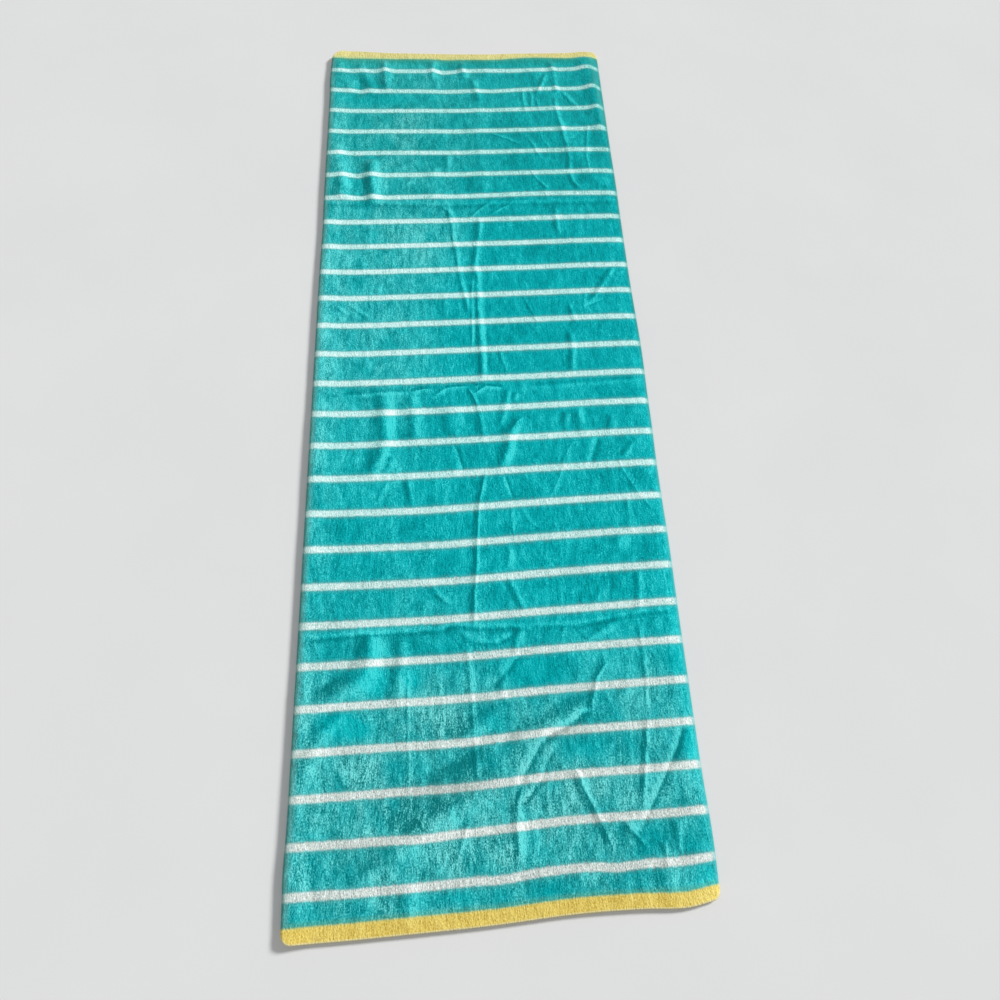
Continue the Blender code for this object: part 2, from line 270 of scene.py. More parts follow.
    ("nr_j",       "fold", 9, 1.4, 0.50, -0.4, ((228, -618), (223, -645), (219, -665), (215, -690), (209, -720), (205, -746))),
    ("nr_k",       "fold", 12, 1.2, 0.45, -0.1, ((252, -770), (250, -805))),
    ("nr_l",       "fold", 7, 0.8, 0.45, 0.1, ((232, -470), (235, -520), (233, -570), (229, -612))),
    ("nr_m",       "fold", 12, 1.2, 0.30, 0.1, ((205, -462), (180, -476), (152, -492), (134, -504))),
    ("nr_n",       "step", 9, 0.8, 0.45, 0.0, ((44, -468), (34, -500), (30, -522))),
    ("nr_o",       "fold", 12, 1.4, -0.40, 0.2, ((38, -510), (24, -530), (10, -546), (-8, -560))),
    ("nr_p",       "step", 9, 0.7, 0.40, 0.0, ((14, -540), (8, -565), (16, -588))),
    ("nr_q",       "fold", 8, 0.6, 0.20, 0.2, ((110, -690), (116, -712), (122, -726))),
    ("nr_r",       "fold", 8, 0.6, 0.40, -0.4, ((-48, -748), (-57, -775), (-68, -805))),
    ("nr_w",       "fold", 7, 0.4, 0.40, -0.4, ((230, -795), (231, -828))),
    ("nr_s",       "step", 9, 0.8, 0.40, 0.0, ((46, -762), (43, -812))),
    ("nr_t",       "fold", 8, 0.6, 0.30, 0.2, ((36, -470), (30, -480), (5, -492), (-30, -488), (-52, -470))),
    ("near_hem_a", "soft", 16, 1.2, 0.25, 0.0, ((-130, -818), (-132, -884))),
    ("near_hem_b", "soft", 14, 1.4, 0.25, 0.0, ((196, -815), (192, -884))),
    ("near_hem_c", "soft", 14, 1.2, 0.25, 0.0, ((232, -815), (230, -884))),
    ("near_hem_d", "soft", 14, 0.9, 0.20, 0.0, ((168, -830), (165, -884))),
)

# Patches of the pile: lightness and greyness. Most are crushed pile; the spark and gleam rows and edge_free are painted
# highlights.
#    name          x     y   reach_x reach_y light grey
PATCHES = (
    ("left_mid",  -190,  150,  120,  260,  0.12,  0.32),
    ("left_far",  -120,  330,   90,   80,  0.18,  0.35),
    ("left_edge", -285,    0,   26,  900,  0.15,  0.30),
    # painted highlight along the lit free edge
    ("edge_free",  290, -320,   15,  600,  0.17,  0.05),
    ("left_low",  -170, -620,  160,  170,  0.05,  0.45),
    ("near_all",     0, -800,  340,  150, -0.02,  0.60),
    ("near_mid",   100, -640,  260,  110,  0.04,  0.35),
    ("far_left",  -160,  660,  170,  260,  0.00,  0.40),
    ("far_right",  150,  560,  200,  240, -0.17,  0.00),
    ("edge_far",   284,  690,   24,  240, -0.25,  0.02),
    ("fresh_far", -180,  727,  100,   22, -0.05, -0.45),
    ("hem_far",      0,  856,  330,   14, -0.14,  0.00),
    ("mid_right",  150,   60,  190,  300, -0.05, -0.24),
    ("threeq_sm", -120, -500,  160,   30, -0.10, -0.20),
    # painted highlights
    ("spark",       36, -780,   16,   34,  0.45, -0.10),
    ("spark_hem", -128, -846,   12,   22,  0.45, -0.10),
    ("gleam_nl",  -185, -500,   18,   30,  0.40, -0.10),
    ("gleam_h",   -166, -100,   14,   32,  0.35, -0.10),
    ("gleam_i",     50, -148,   12,   26,  0.30, -0.10),
    ("gleam_r",    292, -590,   14,  200,  0.22, -0.10),
    ("gleam_hem",  284, -866,   22,   34,  0.45, -0.20),
    # smoother or rougher areas between the near folds
    ("fresh_a",   -185, -545,   26,   24,  0.20, -0.60),
    ("fresh_b",   -237, -600,   30,   20,  0.10, -0.60),
    ("fresh_c",   -200, -615,   34,   20, -0.12, -0.60),
    ("fresh_d",   -125, -545,   18,   22,  0.06, -0.50),
    ("fresh_e",    -10, -612,   28,   26, -0.08, -0.50),
    ("fresh_f",    -14, -670,   24,   22, -0.10, -0.50),
    ("fresh_g",   -108, -672,   24,   18, -0.08, -0.45),
    ("fresh_h",    132, -658,   48,   20, -0.05, -0.50),
    ("fresh_i",     60, -545,   42,   24, -0.06, -0.45),
    ("fresh_j",    290, -535,   12,   20, -0.08, -0.60),
    ("fresh_k",    292, -668,   12,   30,  0.18, -0.60),
    ("fresh_l",    -60, -845,   60,   12, -0.06, -0.50),
    ("fresh_m",     60, -845,   34,   12, -0.06, -0.50),
    ("rough_a",    -80, -600,   40,   30,  0.00,  0.30),
    ("rough_b",    100, -720,   40,   36,  0.00,  0.25),
    ("rough_c",    240, -575,   30,   40,  0.00,  0.30),
    ("rough_d",   -128, -750,   26,   17,  0.34,  0.35),
    ("haze_far",  -135,  640,   20,   60,  0.06,  0.40),
)


# ------------------------------------------------------------------ the cloth
def smooth(x):
    x = np.clip(x, 0.0, 1.0)
    return x * x * (3 - 2 * x)


def wander(x, y, size, seed):
    """Smooth noise from -1 to 1, the same every run."""
    u, v = x / size, y / size
    i, j = np.floor(u).astype(np.int64), np.floor(v).astype(np.int64)
    f, g = u - i, v - j
    f, g = f * f * f * (f * (f * 6 - 15) + 10), g * g * g * (g * (g * 6 - 15) + 10)

    def at(a, b):
        n = (a * 374761393 + b * 668265263 + seed * 144269504) & 0xFFFFFFFF
        n = ((n ^ (n >> 13)) * 1274126177) & 0xFFFFFFFF
        return ((n ^ (n >> 16)) & 0xFFFF) / 32767.5 - 1.0

    low = at(i, j) * (1 - f) + at(i + 1, j) * f
    high = at(i, j + 1) * (1 - f) + at(i + 1, j + 1) * f
    return low * (1 - g) + high * g


def path_distance(x, y, path):
    """Signed distance to a path, positive towards the light, and run along it."""
    turn = (path[-1][1] - path[0][1], path[0][0] - path[-1][0])
    if turn[0] * TOWARDS_LIGHT[0] + turn[1] * TOWARDS_LIGHT[1] < 0:
        path = path[::-1]
    best = np.full(x.shape, 1e9)
    signed, run = np.zeros(x.shape), np.zeros(x.shape)
    before = 0.0
    last = len(path) - 2
    for k, ((x0, y0), (x1, y1)) in enumerate(zip(path, path[1:])):
        dx, dy = x1 - x0, y1 - y0
        size = math.hypot(dx, dy)
        along = ((x - x0) * dx + (y - y0) * dy) / size
        away = ((x - x0) * dy - (y - y0) * dx) / size
        low = -1e9 if k == 0 else 0.0
        high = 1e9 if k == last else size
        near = np.hypot(away, along - np.clip(along, low, high))
        closer = near < best
        best = np.where(closer, near, best)
        signed = np.where(closer, np.where(away < 0, -near, near), signed)
        run = np.where(closer, before + along, run)
        before += size
    return signed, run, before


def crease(x, y, form, half, path):
    """Where one crease reaches: mask, offset, strength along it, and shape."""
    xs, ys = [p[0] for p in path], [p[1] for p in path]
    far = half * 2.8
    here = ((x > min(xs) - far) & (x < max(xs) + far)
            & (y > min(ys) - far) & (y < max(ys) + far))
    px, py = x[here], y[here]
    away, run, size = path_distance(px, py, path)
    away = away + 0.05 * half * wander(px, py, 21, 7) + 0.5 * wander(px, py, 9, 8)
    fade = max(half * 0.7, min(size * 0.25, 22.0))
    ends = smooth((run + half * 0.5) / fade) * smooth((size + half * 0.5 - run) / fade)
    ends = ends * (1 + 0.18 * wander(run, away * 0.2, 26, 9))
    u = away / half
    if form == "soft":
        shape = np.exp(-u * u)
    elif form == "fold":
        shape = np.clip(1 - np.sqrt(u * u + 0.012) * 0.72, 0, None) ** 1.9
    else:
        shape = 0.5 * np.tanh(u * 2.2) * np.exp(-(u * 0.75) ** 2)
    return here, away, ends, shape


def relief(x, y):
    """Height of the upper panel over its smooth middle, and the painted crease shade in its pile colour.

    A sharp crease is narrower than the net, so its offset and painted shade are
    carried to the material, in the first of a few layers where no other crease is
    in the way.
    """
    lift, tone = np.zeros(x.shape), np.zeros(x.shape)
    sharp = np.zeros((*x.shape, LAYERS, 3))
    sharp[..., 0] = 9.0
    for _, form, half, height, lean, line, path in CREASES:
        here, away, ends, shape = crease(x, y, form, half, path)
        if not away.size:
            continue
        lift[here] += RISE * height * shape * ends
        flank = half * FLANK[form]
        v = away / flank
        # painted light on the flank towards the light, painted shade on the other, and a painted crest highlight or
        # shade by the sign of line
        if flank > SHARP_TO:
            tone[here] += (lean * v * np.exp(0.5 - 0.5 * v * v) + line * np.exp(-3.3 * v * v)) * ends
            continue
        around = (np.abs(v) < 5.2) & (ends > -1)
        held = (np.abs(v) < 3.6) & (ends > 0)
        for k in range(LAYERS):
            layer = sharp[..., k, :][here]
            if not (around & (layer[:, 0] != 9.0)).any():
                layer[:, 0] = np.where(around, v, layer[:, 0])
                layer[:, 1] = np.where(held, lean * ends, 0.0)
                layer[:, 2] = np.where(held, line * ends, 0.0)
                sharp[here, k, :] = np.where(around[:, None], layer, sharp[here, k, :])
                break
    lift += (0.42 * wander(x, y, 96, 1) + 0.30 * wander(x, y * 0.6, 41, 2)
             + 0.16 * wander(x, y * 0.55, 19, 3) + 0.07 * wander(x, y * 0.6, 9, 4))
    return lift, tone, sharp.reshape(*x.shape, LAYERS * 3)


def end_back(x, end):
    """How far the rounded corners step the end back at x."""
    back = np.zeros(x.shape)
    for side, e, across, along in CORNERS:
        if e == end:
            d = MID_W + x if side == "fold" else MID_W - x
            k = np.clip((across - d) / across, 0, 1)
            back += along * (1 - np.sqrt(np.clip(1 - k * k, 0, 1)))
    return back


def trim(x, y):
    """Carries the straight ends to the rounded outline."""
    out = y.copy()
    for end, sign in (("far", 1), ("near", -1)):
        share = np.clip((sign * y - (MID_L - 60)) / 60, 0, 1)
        out -= sign * end_back(x, end) * share
    return out


def hem_distance(x, y):
    """Distance in from the hems' outline, round the corners too."""
    found = np.full(x.shape, 1e3)
    for end, sign in (("far", 1), ("near", -1)):
        found = np.minimum(found, MID_L + HALF_T * 0.9 - sign * y)
        for side, e, across, along in CORNERS:
            if e == end:
                dx = across - (MID_W + x if side == "fold" else MID_W - x)
                dy = sign * y - (MID_L - along)
                inside = (dx > 0) & (dy > 0)
                k = np.hypot(dx / across, dy / along)
                cut = (1 - k) * min(across, along) + HALF_T * 0.9
                found = np.where(inside, np.minimum(found, cut), found)
    return found


def bowed(x, y):
    """How far the long sides bow out at x and y."""
    push = np.zeros(x.shape)
    for side, cy, reach, out in BOWS:
        sign = 1 if side == "free" else -1
        share = np.clip(sign * x / MID_W, 0, 1) ** 2
        push += sign * out * share * np.exp(-((y - cy) / reach) ** 2)
    return push


def drawn(x, y):
    shift = np.zeros(x.shape)
    for _, cx, cy, rx, ry, pull in PULLS:
        shift += pull * np.exp(-((x - cx) / rx) ** 2 - ((y - cy) / ry) ** 2)
    return shift


def lay(a, b):
    """A point of the flat pattern where it lies: x, y, z, then its painted crease shade."""
    a, b = np.broadcast_arrays(a, b)
    on_roll = np.clip(a - FLAT_TOP, 0, FLAT_ROLL)
    past = np.clip(a - FLAT_TOP - FLAT_ROLL, 0, None)
    turn = on_roll / ROLL_R
    x = np.where(a <= FLAT_TOP, MID_W - a, ROLL_X - ROLL_R * np.sin(turn) + past)
    upper, under = a <= FLAT_TOP, past > 0
    y0 = trim(np.clip(x, -MID_W, MID_W), b)
    lean = smooth((x - ROLL_X) / 60)
    y0 = np.where(under, y0 - np.sign(b) * HEM_BACK * lean * smooth((np.abs(b) - MID_L + 80) / 80), y0)
    y = y0 + SKEW * x + drawn(x, y0) * np.where(under, 1 - lean * 0.9, 1.0)
    x_flat = x
    x = x + bowed(x, y0) * np.where(under, 1 - lean, 1.0)

    lift, tone, sharp = relief(x, y)
    ends = MID_L - np.abs(y0)
    quiet = smooth((ends + 10) / 30)
    free = MID_W - x_flat
    lift = lift * quiet * smooth((free + 4) / 22)
    roll = 1 - smooth((x - ROLL_X) / ROLL_REACH)
    plump = 0.45 * wander(y0 * 0 + 3.3, y, 150, 21) + 0.25 * wander(y0 * 0 + 3.3, y, 47, 22)
    top_of_roll = ROLL_HEIGHT - HALF_T
    z = (PANEL_MID + lift) * (1 - roll) + (top_of_roll + plump) * roll
    z = z - HEM_DROP * (1 - smooth(ends / 26)) * (1 - roll)
    k = np.clip(1 - free / FREE_REACH, 0, 1)
    z = FREE_LOW + (z - FREE_LOW) * (0.35 * (1 - k ** 2) + 0.65 * np.sqrt(np.clip(1 - k ** 3.2, 0, 1)))
    z_roll = HALF_T + (top_of_roll + plump - HALF_T) * (1 + np.cos(turn)) / 2
    edge_lift = 0.5 * (1 + wander(x, y, 70, 31)) * (1 - smooth(ends / 60)) * lean
    z_under = HALF_T + edge_lift
    z = np.where(upper, z, np.where(under, z_under, z_roll))
    shown = np.where(upper, 1.0, 0.0)
    sharp[..., 1::3] *= shown[..., None]
    sharp[..., 2::3] *= shown[..., None]
    return x, y, z, tone * shown, y0, sharp


def stations(start, stop, first, growth, step):
    """Positions from start to stop, fine at both ends."""
    head, gap = [0.0], first
    while gap < step:
        head.append(head[-1] + gap)
        gap *= growth
    middle = stop - start - 2 * head[-1]
    n = max(1, round(middle / step))
    body = [head[-1] + middle * k / n for k in range(n + 1)]
    tail = [stop - start - h for h in reversed(head)]
    return np.array([start + p for p in head[:-1] + body + tail[1:]])


def normals_of(points):
    du = np.gradient(points, axis=0)
    dv = np.gradient(points, axis=1)
    n = np.cross(dv, du)
    return n / np.maximum(np.linalg.norm(n, axis=2, keepdims=True), 1e-12)


class Net:
    """Vertices, faces and per-vertex values of the sheet as it is put together."""

    def __init__(self):
        self.points, self.values, self.faces, self.count = [], [], [], 0

    def add(self, points, values):
        first = self.count
        self.points.append(points.reshape(-1, 3))
        self.values.append(values.reshape(-1, values.shape[-1]))
        self.count += len(self.points[-1])
        return first + np.arange(len(self.points[-1]))

    def grid(self, index, flip=False):
        a, b = index[:-1, :-1], index[1:, :-1]
        c, d = index[1:, 1:], index[:-1, 1:]
        quads = np.stack([a, b, c, d] if not flip else [a, d, c, b], -1)
        self.faces += quads.reshape(-1, 4).tolist()

    def stitch(self, one, two, flip=False):
        """Fills between two lines of vertices with different counts."""
        i = j = 0
        n, m = len(one) - 1, len(two) - 1
        while i < n or j < m:
            if j == m or (i < n and (i + 1) / n <= (j + 1) / m):
                tri = [int(one[i]), int(one[i + 1]), int(two[j])]
                i += 1
            else:
                tri = [int(one[i]), int(two[j + 1]), int(two[j])]
                j += 1
            self.faces.append(tri[::-1] if flip else tri)


def build_sheet():
    upper = stations(0.0, FLAT_TOP, 0.9, 1.32, 3.55)
    roll = FLAT_TOP + FLAT_ROLL * np.arange(1, 15) / 14
    fine_a = np.concatenate([upper, roll])
    under = FLAT_TOP + FLAT_ROLL + stations(0.0, FLAT_UNDER, 3.0, 1.7, 60.0)[1:]
    fine_b = stations(-MID_L, MID_L, 0.9, 1.32, 4.15)
    rough_b = stations(-MID_L, MID_L, 3.0, 1.7, 40.0)

    def sample(a, b):
        x, y, z, tone, y0, sharp = lay(a[:, None], b[None, :])
        points = np.stack([x, y, z], -1)
        p = np.broadcast_to(HALF_W - a[:, None], x.shape)
        hem = hem_distance(np.clip(x, -MID_W, MID_W), y0)
        # pattern across, pattern along, painted crease shade, distance to the hem, sharp creases with their painted
        # shade
        values = np.concatenate([np.stack([p, y0, tone, hem], -1), sharp], -1)
        return points, values, normals_of(points)

    net = Net()
    fine, fine_v, fine_n = sample(fine_a, fine_b)
    a_tail = np.concatenate([fine_a[-2:], under])
    rough, rough_v, rough_n = sample(a_tail, rough_b)
    rough, rough_v, rough_n = rough[2:], rough_v[2:], rough_n[2:]

    # pile stands a little uneven, and hems are a doubled, firmer band
    grow = 0.10 * wander(fine_v[..., 0], fine_v[..., 1], 5.0, 41)
    groove = np.exp(-((fine_v[..., 3] - (HALF_L - BAND_FROM)) / 2.6) ** 2)
    outer = fine + fine_n * (HALF_T + grow - 0.22 * groove)[..., None]
    top = net.add(outer, fine_v).reshape(outer.shape[:2])
    net.grid(top)
    low = net.add(rough + rough_n * HALF_T, rough_v).reshape(rough.shape[:2])
    net.grid(low)
    net.stitch(top[-1], low[0], flip=True)

    # the inner side is coarse, because it doesn't show
    inner_a = np.concatenate([[7.0], stations(30.0, FLAT_TOP - 30, 20.0, 2.0, 40.0),
                              FLAT_TOP + FLAT_ROLL * np.arange(0, 9) / 8,
                              FLAT_TOP + FLAT_ROLL + stations(30.0, FLAT_UNDER - 30, 20.0, 2.0, 60.0),
                              [FLAT_TOP + FLAT_ROLL + FLAT_UNDER - 7.0]])
    inner_b = np.concatenate([[-MID_L + 7.0], stations(-MID_L + 30, MID_L - 30, 20, 2.0, 40.0), [MID_L - 7.0]])
    inner, inner_v, inner_n = sample(inner_a, inner_b)
    inner = inner - inner_n * HALF_T
    core = net.add(inner, inner_v).reshape(inner.shape[:2])
    net.grid(core, flip=True)

    # rims round the whole outline, from the outer side to the inner one
    def take(grid, values, normals, index, row, first):
        """One edge of a patch as (outer vertex, middle, normal, outward, values)."""
        if row == "a0":
            mid, nrm, val, ids = grid[0], normals[0], values[0], index[0]
            out = grid[0] - grid[1]
        elif row == "a1":
            mid, nrm, val, ids = grid[-1], normals[-1], values[-1], index[-1]
            out = grid[-1] - grid[-2]
        elif row == "b0":
            mid, nrm, val, ids = grid[:, 0], normals[:, 0], values[:, 0], index[:, 0]
            out = grid[:, 0] - grid[:, 1]
        else:
            mid, nrm, val, ids = grid[:, -1], normals[:, -1], values[:, -1], index[:, -1]
            out = grid[:, -1] - grid[:, -2]
        out = out - nrm * (out * nrm).sum(-1, keepdims=True)
        out = out / np.linalg.norm(out, axis=-1, keepdims=True)
        pick = slice(None, None, -1) if first else slice(None)
        return [q[pick] for q in (ids, mid, nrm, out, val)]

    # round once: near hem, lower free edge, far hem, upper free edge
    parts = [take(fine, fine_v, fine_n, top, "b0", False),
             take(rough, rough_v, rough_n, low, "b0", False),
             take(rough, rough_v, rough_n, low, "a1", False),
             take(rough, rough_v, rough_n, low, "b1", True),
             take(fine, fine_v, fine_n, top, "b1", True),
             take(fine, fine_v, fine_n, top, "a0", True)]
    # corners belong to both edges: their outward direction is the mean
    loop = []
    for part in parts:
        for k in range(len(part[0])):
            row = [part[0][k]] + [q[k] for q in part[1:]]
            if loop and loop[-1][0] == row[0]:
                loop[-1][3] = loop[-1][3] + row[3]
                continue
            loop.append(row)
    if loop[0][0] == loop[-1][0]:
        loop[0][3] = loop[0][3] + loop[-1][3]
        loop.pop()
    ids = np.array([r[0] for r in loop])
    mid = np.array([r[1] for r in loop])
    nrm = np.array([r[2] for r in loop])
    out = np.array([r[3] for r in loop])
    val = np.array([r[4] for r in loop])
    # the outline's own direction, smoothed so that round corners stay round
    ahead = np.roll(mid, -1, 0) - np.roll(mid, 1, 0)
    side_out = np.cross(nrm, ahead)
    side_out /= np.linalg.norm(side_out, axis=1, keepdims=True)
    side_out *= np.sign((side_out * out).sum(1))[:, None]
    out = side_out
    rings = [ids]
    for k in (1, 2, 3, 4, 5):
        angle = math.pi * k / 6
        ring = mid + nrm * (HALF_T * math.cos(angle)) + out * (HALF_T * 0.9 * math.sin(angle))
        v = val.copy()
        v[:, 3] = np.where(v[:, 3] < 12, v[:, 3] * (1 - math.sin(angle)) - 0.4 * k, v[:, 3])
        rings.append(net.add(ring, v))
    back = mid - nrm * HALF_T
    rings.append(net.add(back, val))
    rings = np.array(rings)
    closed = np.concatenate([rings, rings[:, :1]], 1)
    net.grid(closed.T)

    # the last ring meets the inner side's border, corner by corner
    core_edge = [core[:, 0], core[-1, :], core[::-1, -1], core[0, ::-1]]
    last = closed[-1]
    counts = [len(p[0]) for p in parts]
    corner_1 = counts[0] + counts[1] - 1
    corner_2 = corner_1 + counts[2] - 1
    corner_3 = corner_2 + counts[3] + counts[4] - 1
    marks = [0, corner_1, corner_2, corner_3, len(last) - 1]
    for k in range(4):
        net.stitch(last[marks[k]:marks[k + 1] + 1], core_edge[k], flip=False)

    points = np.concatenate(net.points)
    values = np.concatenate(net.values)
    return points, values, net.faces


def make_towel():
    points, values, faces = build_sheet()
    mesh = bpy.data.meshes.new("towel_cloth")
    mesh.from_pydata((points / 1000).tolist(), [], faces)
    mesh.update()
    shell = bmesh.new()
    shell.from_mesh(mesh)
    bmesh.ops.recalc_face_normals(shell, faces=shell.faces[:])
    shell.to_mesh(mesh)
    shell.free()
    uv = mesh.uv_layers.new(name="pattern")
    corner = np.zeros(len(mesh.loops), np.int32)
    mesh.loops.foreach_get("vertex_index", corner)
    uv.data.foreach_set("uv", (values[corner, :2] / 1000).astype(np.float32).ravel())
    # the first attribute holds the painted crease shade of the wide creases
    for name, column in (("crease_shade_tone", 2), ("hem_edge", 3)):
        layer = mesh.attributes.new(name, "FLOAT", "POINT")
        layer.data.foreach_set("value", values[:, column].astype(np.float32))
    # each sharp layer holds a crease's offset with its painted flank and crest shade
    for k in range(LAYERS):
        layer = mesh.attributes.new(f"sharp_{k}", "FLOAT_VECTOR", "POINT")
        layer.data.foreach_set("vector", values[:, 4 + 3 * k:7 + 3 * k].astype(np.float32).ravel())
    # lightness of the patches, painted highlights included, and their greyness
    light, grey = np.zeros(len(points)), np.zeros(len(points))
    for _, cx, cy, rx, ry, bright, dull in PATCHES:
        near = np.exp(-((points[:, 0] - cx) / rx) ** 2 - ((points[:, 1] - cy) / ry) ** 2)
        light += bright * near
        grey += dull * near
    for name, data in (("pile_light_and_highlight", light), ("pile_grey", grey)):
        layer = mesh.attributes.new(name, "FLOAT", "POINT")
        layer.data.foreach_set("value", data.astype(np.float32))
    mesh.shade_smooth()
    towel = bpy.data.objects.new("towel_cloth", mesh)
    bpy.context.scene.collection.objects.link(towel)
    return towel


# ------------------------------------------------------------------ materials
class Nodes:
    """Short hand for building a node tree."""

    def __init__(self, name):
        self.mat = bpy.data.materials.new(name)
        self.mat.use_nodes = True
        self.tree = self.mat.node_tree
        self.bsdf = self.tree.nodes["Principled BSDF"]

    def new(self, kind, inputs=None, **settings):
        node = self.tree.nodes.new(kind)
        for key, value in settings.items():
            setattr(node, key, value)
        for key, value in (inputs or {}).items():
            self.put(node.inputs[key], value)
        return node

    def put(self, socket, value):
        if isinstance(value, bpy.types.NodeSocket):
            self.tree.links.new(value, socket)
        else:
            socket.default_value = value

    def math(self, operation, a, b=0.0, c=None, clamp=False):
        node = self.new("ShaderNodeMath", operation=operation, use_clamp=clamp)
        self.put(node.inputs[0], a)
        self.put(node.inputs[1], b)
        if c is not None:
            self.put(node.inputs[2], c)
        return node.outputs[0]

    def ramp(self, value, low, high, to_low=0.0, to_high=1.0):
        node = self.new("ShaderNodeMapRange", interpolation_type="SMOOTHSTEP")
        for key, v in (("Value", value), ("From Min", low), ("From Max", high),
                       ("To Min", to_low), ("To Max", to_high)):
            self.put(node.inputs[key], v)
        return node.outputs[0]

    def noise(self, vector, scale, detail=2.0, rough=0.5, bend=0.0, stretch=(1, 1, 1)):
        mapped = self.new("ShaderNodeMapping", {"Vector": vector, "Scale": stretch})
        node = self.new("ShaderNodeTexNoise", {"Vector": mapped.outputs[0], "Scale": scale,
                                               "Detail": detail, "Roughness": rough,
                                               "Distortion": bend})
        return node.outputs["Fac"]

    def warp(self, vector, scale, amount):
        """The vector, pushed about smoothly."""
        push = self.new("ShaderNodeTexNoise", {"Vector": vector, "Scale": scale, "Detail": 1.0})
        middle = self.new("ShaderNodeVectorMath", {0: push.outputs["Color"], 1: (0.5, 0.5, 0.5)},
                          operation="SUBTRACT")
        step = self.new("ShaderNodeVectorMath", {0: middle.outputs[0], "Scale": amount}, operation="SCALE")
        return self.new("ShaderNodeVectorMath", {0: vector, 1: step.outputs[0]}, operation="ADD").outputs[0]

    def mix(self, factor, a, b, blend="MIX"):
        node = self.new("ShaderNodeMix", data_type="RGBA", blend_type=blend)
        self.put(node.inputs[0], factor)
        self.put(node.inputs[6], a)
        self.put(node.inputs[7], b)
        return node.outputs[2]

    def colours(self, value, stops):
        node = self.new("ShaderNodeValToRGB", {"Fac": value})
        ramp = node.color_ramp
        ramp.interpolation = "EASE"
        while len(ramp.elements) < len(stops):
            ramp.elements.new(0.5)
        for element, (place, colour) in zip(ramp.elements, stops):
            element.position = place
            element.color = (*colour, 1.0)
        return node.outputs[0]


